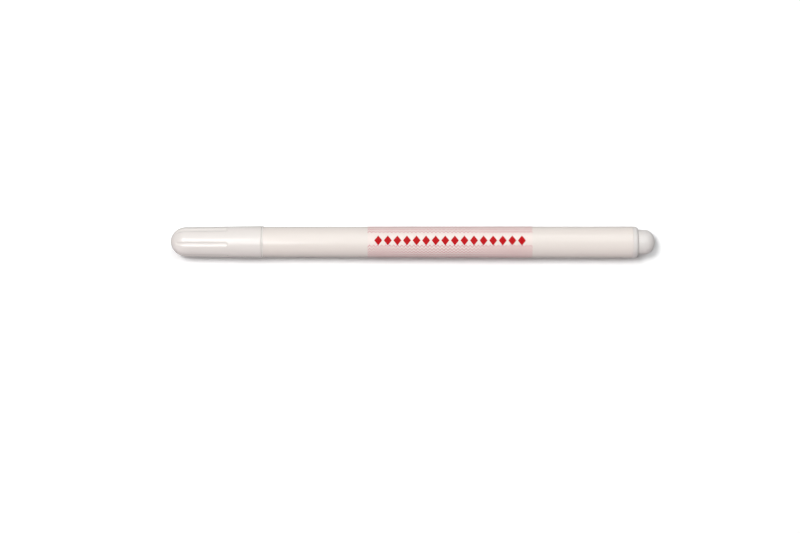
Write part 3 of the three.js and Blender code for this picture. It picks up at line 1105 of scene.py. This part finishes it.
class FABRICPEN_OT_make_diamonds(bpy.types.Operator):
    """Prints a row of red diamonds along the bare stripe"""

    bl_idname = "fabric_pen.make_diamonds"
    bl_label = "Diamond print"

    def execute(self, context):
        pen = context.scene.fabric_pen
        prints = pen.prints
        tints = (pen.colours.diamond, pen.colours.film)
        dull = {"Specular IOR Level": 0.1}
        material = ink("Diamond ink", *tints, thinness=0.01, gloss=0.6, shader=dull)
        values = print_values(pen, material) | {
            "Count": prints.diamond_count,
            "Inset": prints.diamond_inset,
            "Width": prints.diamond_width,
            "Height": prints.diamond_height,
            "Turn": prints.diamond_turn,
        }
        mesh = grown("diamond_print", diamond_tree(), values)
        piece("diamond_print", mesh, material, "barrel", "label")
        return {"FINISHED"}


class FABRICPEN_OT_make_core(bpy.types.Operator):
    """Makes the ink core and the clear film wrapped round it"""

    bl_idname = "fabric_pen.make_core"
    bl_label = "Ink core"

    def execute(self, context):
        pen = context.scene.fabric_pen
        sizes = pen.barrel
        nib_hole = NIB_RADIUS + pen.section.nib_gap
        room = 0.1 * MM
        hole_end = NIB_END + room
        edge = 0.15 * MM
        core = soften(
            (hole_end, 0.0, 0),
            (hole_end, nib_hole, edge),
            (CORE_START, nib_hole, edge),
            (CORE_START, CORE_RADIUS, edge),
            (CORE_END, CORE_RADIUS, edge),
            (CORE_END, 0.0, 0),
        )
        material = fibre("Core fibre", pen.colours.core, strands=6000.0, contrast=0.5, bump=2e-5)
        mesh = turned(core, FIBRE_SEGMENTS)
        piece("ink_core", mesh, material, "barrel", "reservoir", "ink_reservoir")
        inner = CORE_RADIUS + sizes.wrap_gap
        outer = inner + sizes.wrap_thickness
        edge = 0.015 * MM
        wrap = soften(
            (CORE_START, inner, edge),
            (CORE_START, outer, edge),
            (CORE_END, outer, edge),
            (CORE_END, inner, edge),
            closed=True,
        )
        clear = {"Transmission Weight": 1.0, "IOR": 1.5}
        material = plastic("Core wrap film", pen.colours.wrap, gloss=0.12, shader=clear)
        mesh = turned(wrap, FIBRE_SEGMENTS, closed=True)
        piece("core_wrap", mesh, material, "barrel", "film", "reservoir_film")
        return {"FINISHED"}


# The tail


def sealing_rings(sizes, barrel):
    """The outside of the plug's pressed-in part, from its front to its flange."""
    edge = 0.12 * MM
    pitch = sizes.spigot / sizes.ring_count

    def corner(along, height, rounding=edge):
        return (along, pressed_radius(barrel, along, sizes.press_gap) - height, rounding)

    corners = [corner(PLUG_START, sizes.ring_height)]
    for i in range(sizes.ring_count):
        middle = PLUG_START + pitch * (i + 0.5)
        corners.append(corner(middle - sizes.ring_width / 2, sizes.ring_height))
        corners.append(corner(middle, 0.0))
        corners.append(corner(middle + sizes.ring_width / 2, sizes.ring_height))
    corners.append(corner(BARREL_END, sizes.ring_height, edge / 2))
    return corners


class FABRICPEN_OT_make_tail_plug(bpy.types.Operator):
    """Makes the plug that closes the tail: sealing rings, flange, stem and dome"""

    bl_idname = "fabric_pen.make_tail_plug"
    bl_label = "Tail plug"

    def execute(self, context):
        pen = context.scene.fabric_pen
        sizes = pen.tail
        dome_start = PEN_END - sizes.dome_length
        core = sizes.stem_radius - sizes.wall
        socket_end = PLUG_START + sizes.socket
        socket = socket_radius(pen.barrel)
        band_end = BARREL_END + sizes.flange_band
        groove = sizes.stem_radius - sizes.groove_depth
        stem_start = band_end + sizes.flange_round + sizes.groove_width
        edge = 0.07 * MM
        profile = soften(
            *arc((dome_start, 0), core, sizes.dome_length - sizes.wall, 90, 0),
            (socket_end, core, edge),
            (socket_end, socket, edge),
            (PLUG_START, socket, edge),
            *sealing_rings(sizes, pen.barrel),
            (BARREL_END, REAR_RADIUS, 2 * edge),
            *arc((band_end, groove), REAR_RADIUS - groove, sizes.flange_round, 0, 90),
            (stem_start, sizes.stem_radius, edge),
            *arc((dome_start, 0), sizes.stem_radius, sizes.dome_length, 0, 90),
        )
        material = plastic("Tail plug plastic", pen.colours.plug, gloss=0.36, bump=3e-6)
        piece("tail_stopper", turned(profile), material, "barrel", "plug", "tail_plug")
        return {"FINISHED"}


# Studio

# The tone of the floor and of the air as the camera sees them, and as they light the pen
PAPER_SEEN = (1.08, 1.08, 1.08)
PAPER_BOUNCED = (0.46, 0.445, 0.45)
AIR_SEEN = (1.0, 1.0, 1.0)
AIR_BOUNCED = (0.049, 0.049, 0.049)

WHITE = (1.0, 1.0, 1.0)
ROSE = (1.0, 0.89, 0.93)

# Each lamp has its place, its width and height, its watts and its tint. These face straight down
LAMPS_ABOVE = (
    ("High left softbox", (-0.45, 0.36, 1.4), (0.4, 0.44), 12.9, WHITE),
    ("Far left softbox", (-1.05, 0.36, 1.4), (0.8, 0.44), 3.2, WHITE),
    ("Middle softbox", (0.0, 0.3, 0.7), (0.3, 0.5), 0.585, WHITE),
    ("Right softbox", (0.525, 0.18, 0.7), (0.75, 0.24), 1.7, WHITE),
    ("Rear softbox", (0.0, 1.5, 1.4), (0.4, 0.8), 1.64, (0.94, 1.0, 1.01)),
    ("Rear right softbox", (0.9, 1.5, 1.4), (1.4, 0.8), 9.6, (0.92, 1.0, 1.01)),
    ("Cap glint", (-0.115, -0.09, 0.7), (0.09, 0.3), 0.665, WHITE),
    ("Front glint", (-0.045, -0.01, 0.7), (0.09, 0.12), 0.044, WHITE),
    ("Barrel streak", (-0.055, 0.035, 0.7), (0.05, 0.03), 0.05, WHITE),
)

# These stand low in front of the pen and face it
LAMPS_IN_FRONT = (
    ("Near left panel", (-0.9, -0.9, 0.02), (1.2, 0.03), 3.2, ROSE),
    ("Near right panel", (0.78, -0.78, 0.09), (0.8, 0.14), 0.97, ROSE),
    ("Near low panel", (0.0, -1.1, 0.09), (0.8, 0.14), 0.54, ROSE),
)


def white_for_camera(tree, seen, bounced):
    """A colour that is plain white to the camera, and dimmer to the light that bounces on."""
    path = wire(tree, "ShaderNodeLightPath", output="Is Camera Ray")
    return mixed_colour(tree, path, (*bounced, 1.0), (*seen, 1.0))


def softbox(aim, name, place, size, watts, tint):
    """A rectangular lamp that the camera doesn't see."""
    data = bpy.data.lights.new(name, "AREA")
    data.shape = "RECTANGLE"
    data.size, data.size_y = size
    data.energy = watts
    data.color = tint
    lamp = new_object(name, data)
    lamp.location = place
    lamp.rotation_euler = (Vector(aim) - Vector(place)).to_track_quat("-Z", "Y").to_euler()
    lamp.visible_camera = False


class FABRICPEN_OT_make_studio(bpy.types.Operator):
    """Makes the pale floor, the soft lamps and the camera over the pen"""

    bl_idname = "fabric_pen.make_studio"
    bl_label = "Studio"

    def execute(self, context):
        studio = context.scene.fabric_pen.studio
        half = studio.floor_size / 2
        mesh = bpy.data.meshes.new("studio_floor")
        corners = [(-half, -half, 0), (half, -half, 0), (half, half, 0), (-half, half, 0)]
        mesh.from_pydata(corners, [], [(0, 1, 2, 3)])
        paper = bpy.data.materials.new("Studio paper")
        tree = emptied(paper)
        tone = white_for_camera(tree, PAPER_SEEN, PAPER_BOUNCED)
        matt = wire(tree, "ShaderNodeBsdfDiffuse", {"Color": tone})
        add_node(tree, "ShaderNodeOutputMaterial", {"Surface": matt})
        mesh.materials.append(paper)
        new_object("studio_floor", mesh)

        world = bpy.data.worlds.new("Studio air")
        tree = emptied(world)
        tone = white_for_camera(tree, AIR_SEEN, AIR_BOUNCED)
        air = wire(tree, "ShaderNodeBackground", {"Color": tone})
        add_node(tree, "ShaderNodeOutputWorld", {"Surface": air})
        context.scene.world = world

        for lamp in LAMPS_ABOVE:
            x, y, _ = lamp[1]
            softbox((x, y, 0.0), *lamp)
        for lamp in LAMPS_IN_FRONT:
            softbox((0.0, 0.0, 0.0), *lamp)

        data = bpy.data.cameras.new("Camera")
        data.lens = studio.focal_length
        data.sensor_width = 36.0
        data.clip_start = 0.01
        data.clip_end = 20.0
        camera = new_object("Camera", data)
        camera.location = (studio.camera_x, studio.camera_y, studio.camera_height)
        camera.rotation_euler = (0.0, 0.0, studio.camera_roll)
        context.scene.camera = camera
        context.scene.view_settings.view_transform = "Standard"
        return {"FINISHED"}


class FABRICPEN_PT_sidebar(bpy.types.Panel):
    """Lists the pieces of the pen"""

    bl_label = "Fabric Pen"
    bl_idname = "FABRICPEN_PT_sidebar"
    bl_space_type = "VIEW_3D"
    bl_region_type = "UI"
    bl_category = "Fabric Pen"

    def draw(self, context):
        for maker in OPERATORS:
            self.layout.operator(maker.bl_idname)
        pen = context.scene.fabric_pen
        for name in FabricPen.__annotations__:
            group = getattr(pen, name)
            box = self.layout.box()
            box.label(text=pen.bl_rna.properties[name].name)
            for setting in type(group).__annotations__:
                box.prop(group, setting)


SETTINGS = (
    FabricPenCapSizes,
    FabricPenFlutes,
    FabricPenSectionSizes,
    FabricPenBarrelSizes,
    FabricPenPrint,
    FabricPenTailSizes,
    FabricPenColours,
    FabricPenStudio,
    FabricPen,
)

OPERATORS = (
    FABRICPEN_OT_make_cap,
    FABRICPEN_OT_make_inner_cap,
    FABRICPEN_OT_make_front_section,
    FABRICPEN_OT_make_nib,
    FABRICPEN_OT_make_barrel,
    FABRICPEN_OT_make_film,
    FABRICPEN_OT_make_zigzags,
    FABRICPEN_OT_make_diamonds,
    FABRICPEN_OT_make_core,
    FABRICPEN_OT_make_tail_plug,
    FABRICPEN_OT_make_studio,
)


CLASSES = (*SETTINGS, *OPERATORS, FABRICPEN_PT_sidebar)


def register():
    for item in CLASSES:
        bpy.utils.register_class(item)
    bpy.types.Scene.fabric_pen = PointerProperty(type=FabricPen)


def unregister():
    del bpy.types.Scene.fabric_pen
    for item in reversed(CLASSES):
        bpy.utils.unregister_class(item)


def main():
    register()
    bpy.ops.fabric_pen.make_cap()
    bpy.ops.fabric_pen.make_inner_cap()
    bpy.ops.fabric_pen.make_front_section()
    bpy.ops.fabric_pen.make_nib()
    bpy.ops.fabric_pen.make_barrel()
    bpy.ops.fabric_pen.make_film()
    bpy.ops.fabric_pen.make_zigzags()
    bpy.ops.fabric_pen.make_diamonds()
    bpy.ops.fabric_pen.make_core()
    bpy.ops.fabric_pen.make_tail_plug()
    bpy.ops.fabric_pen.make_studio()


if __name__ == "__main__":
    main()
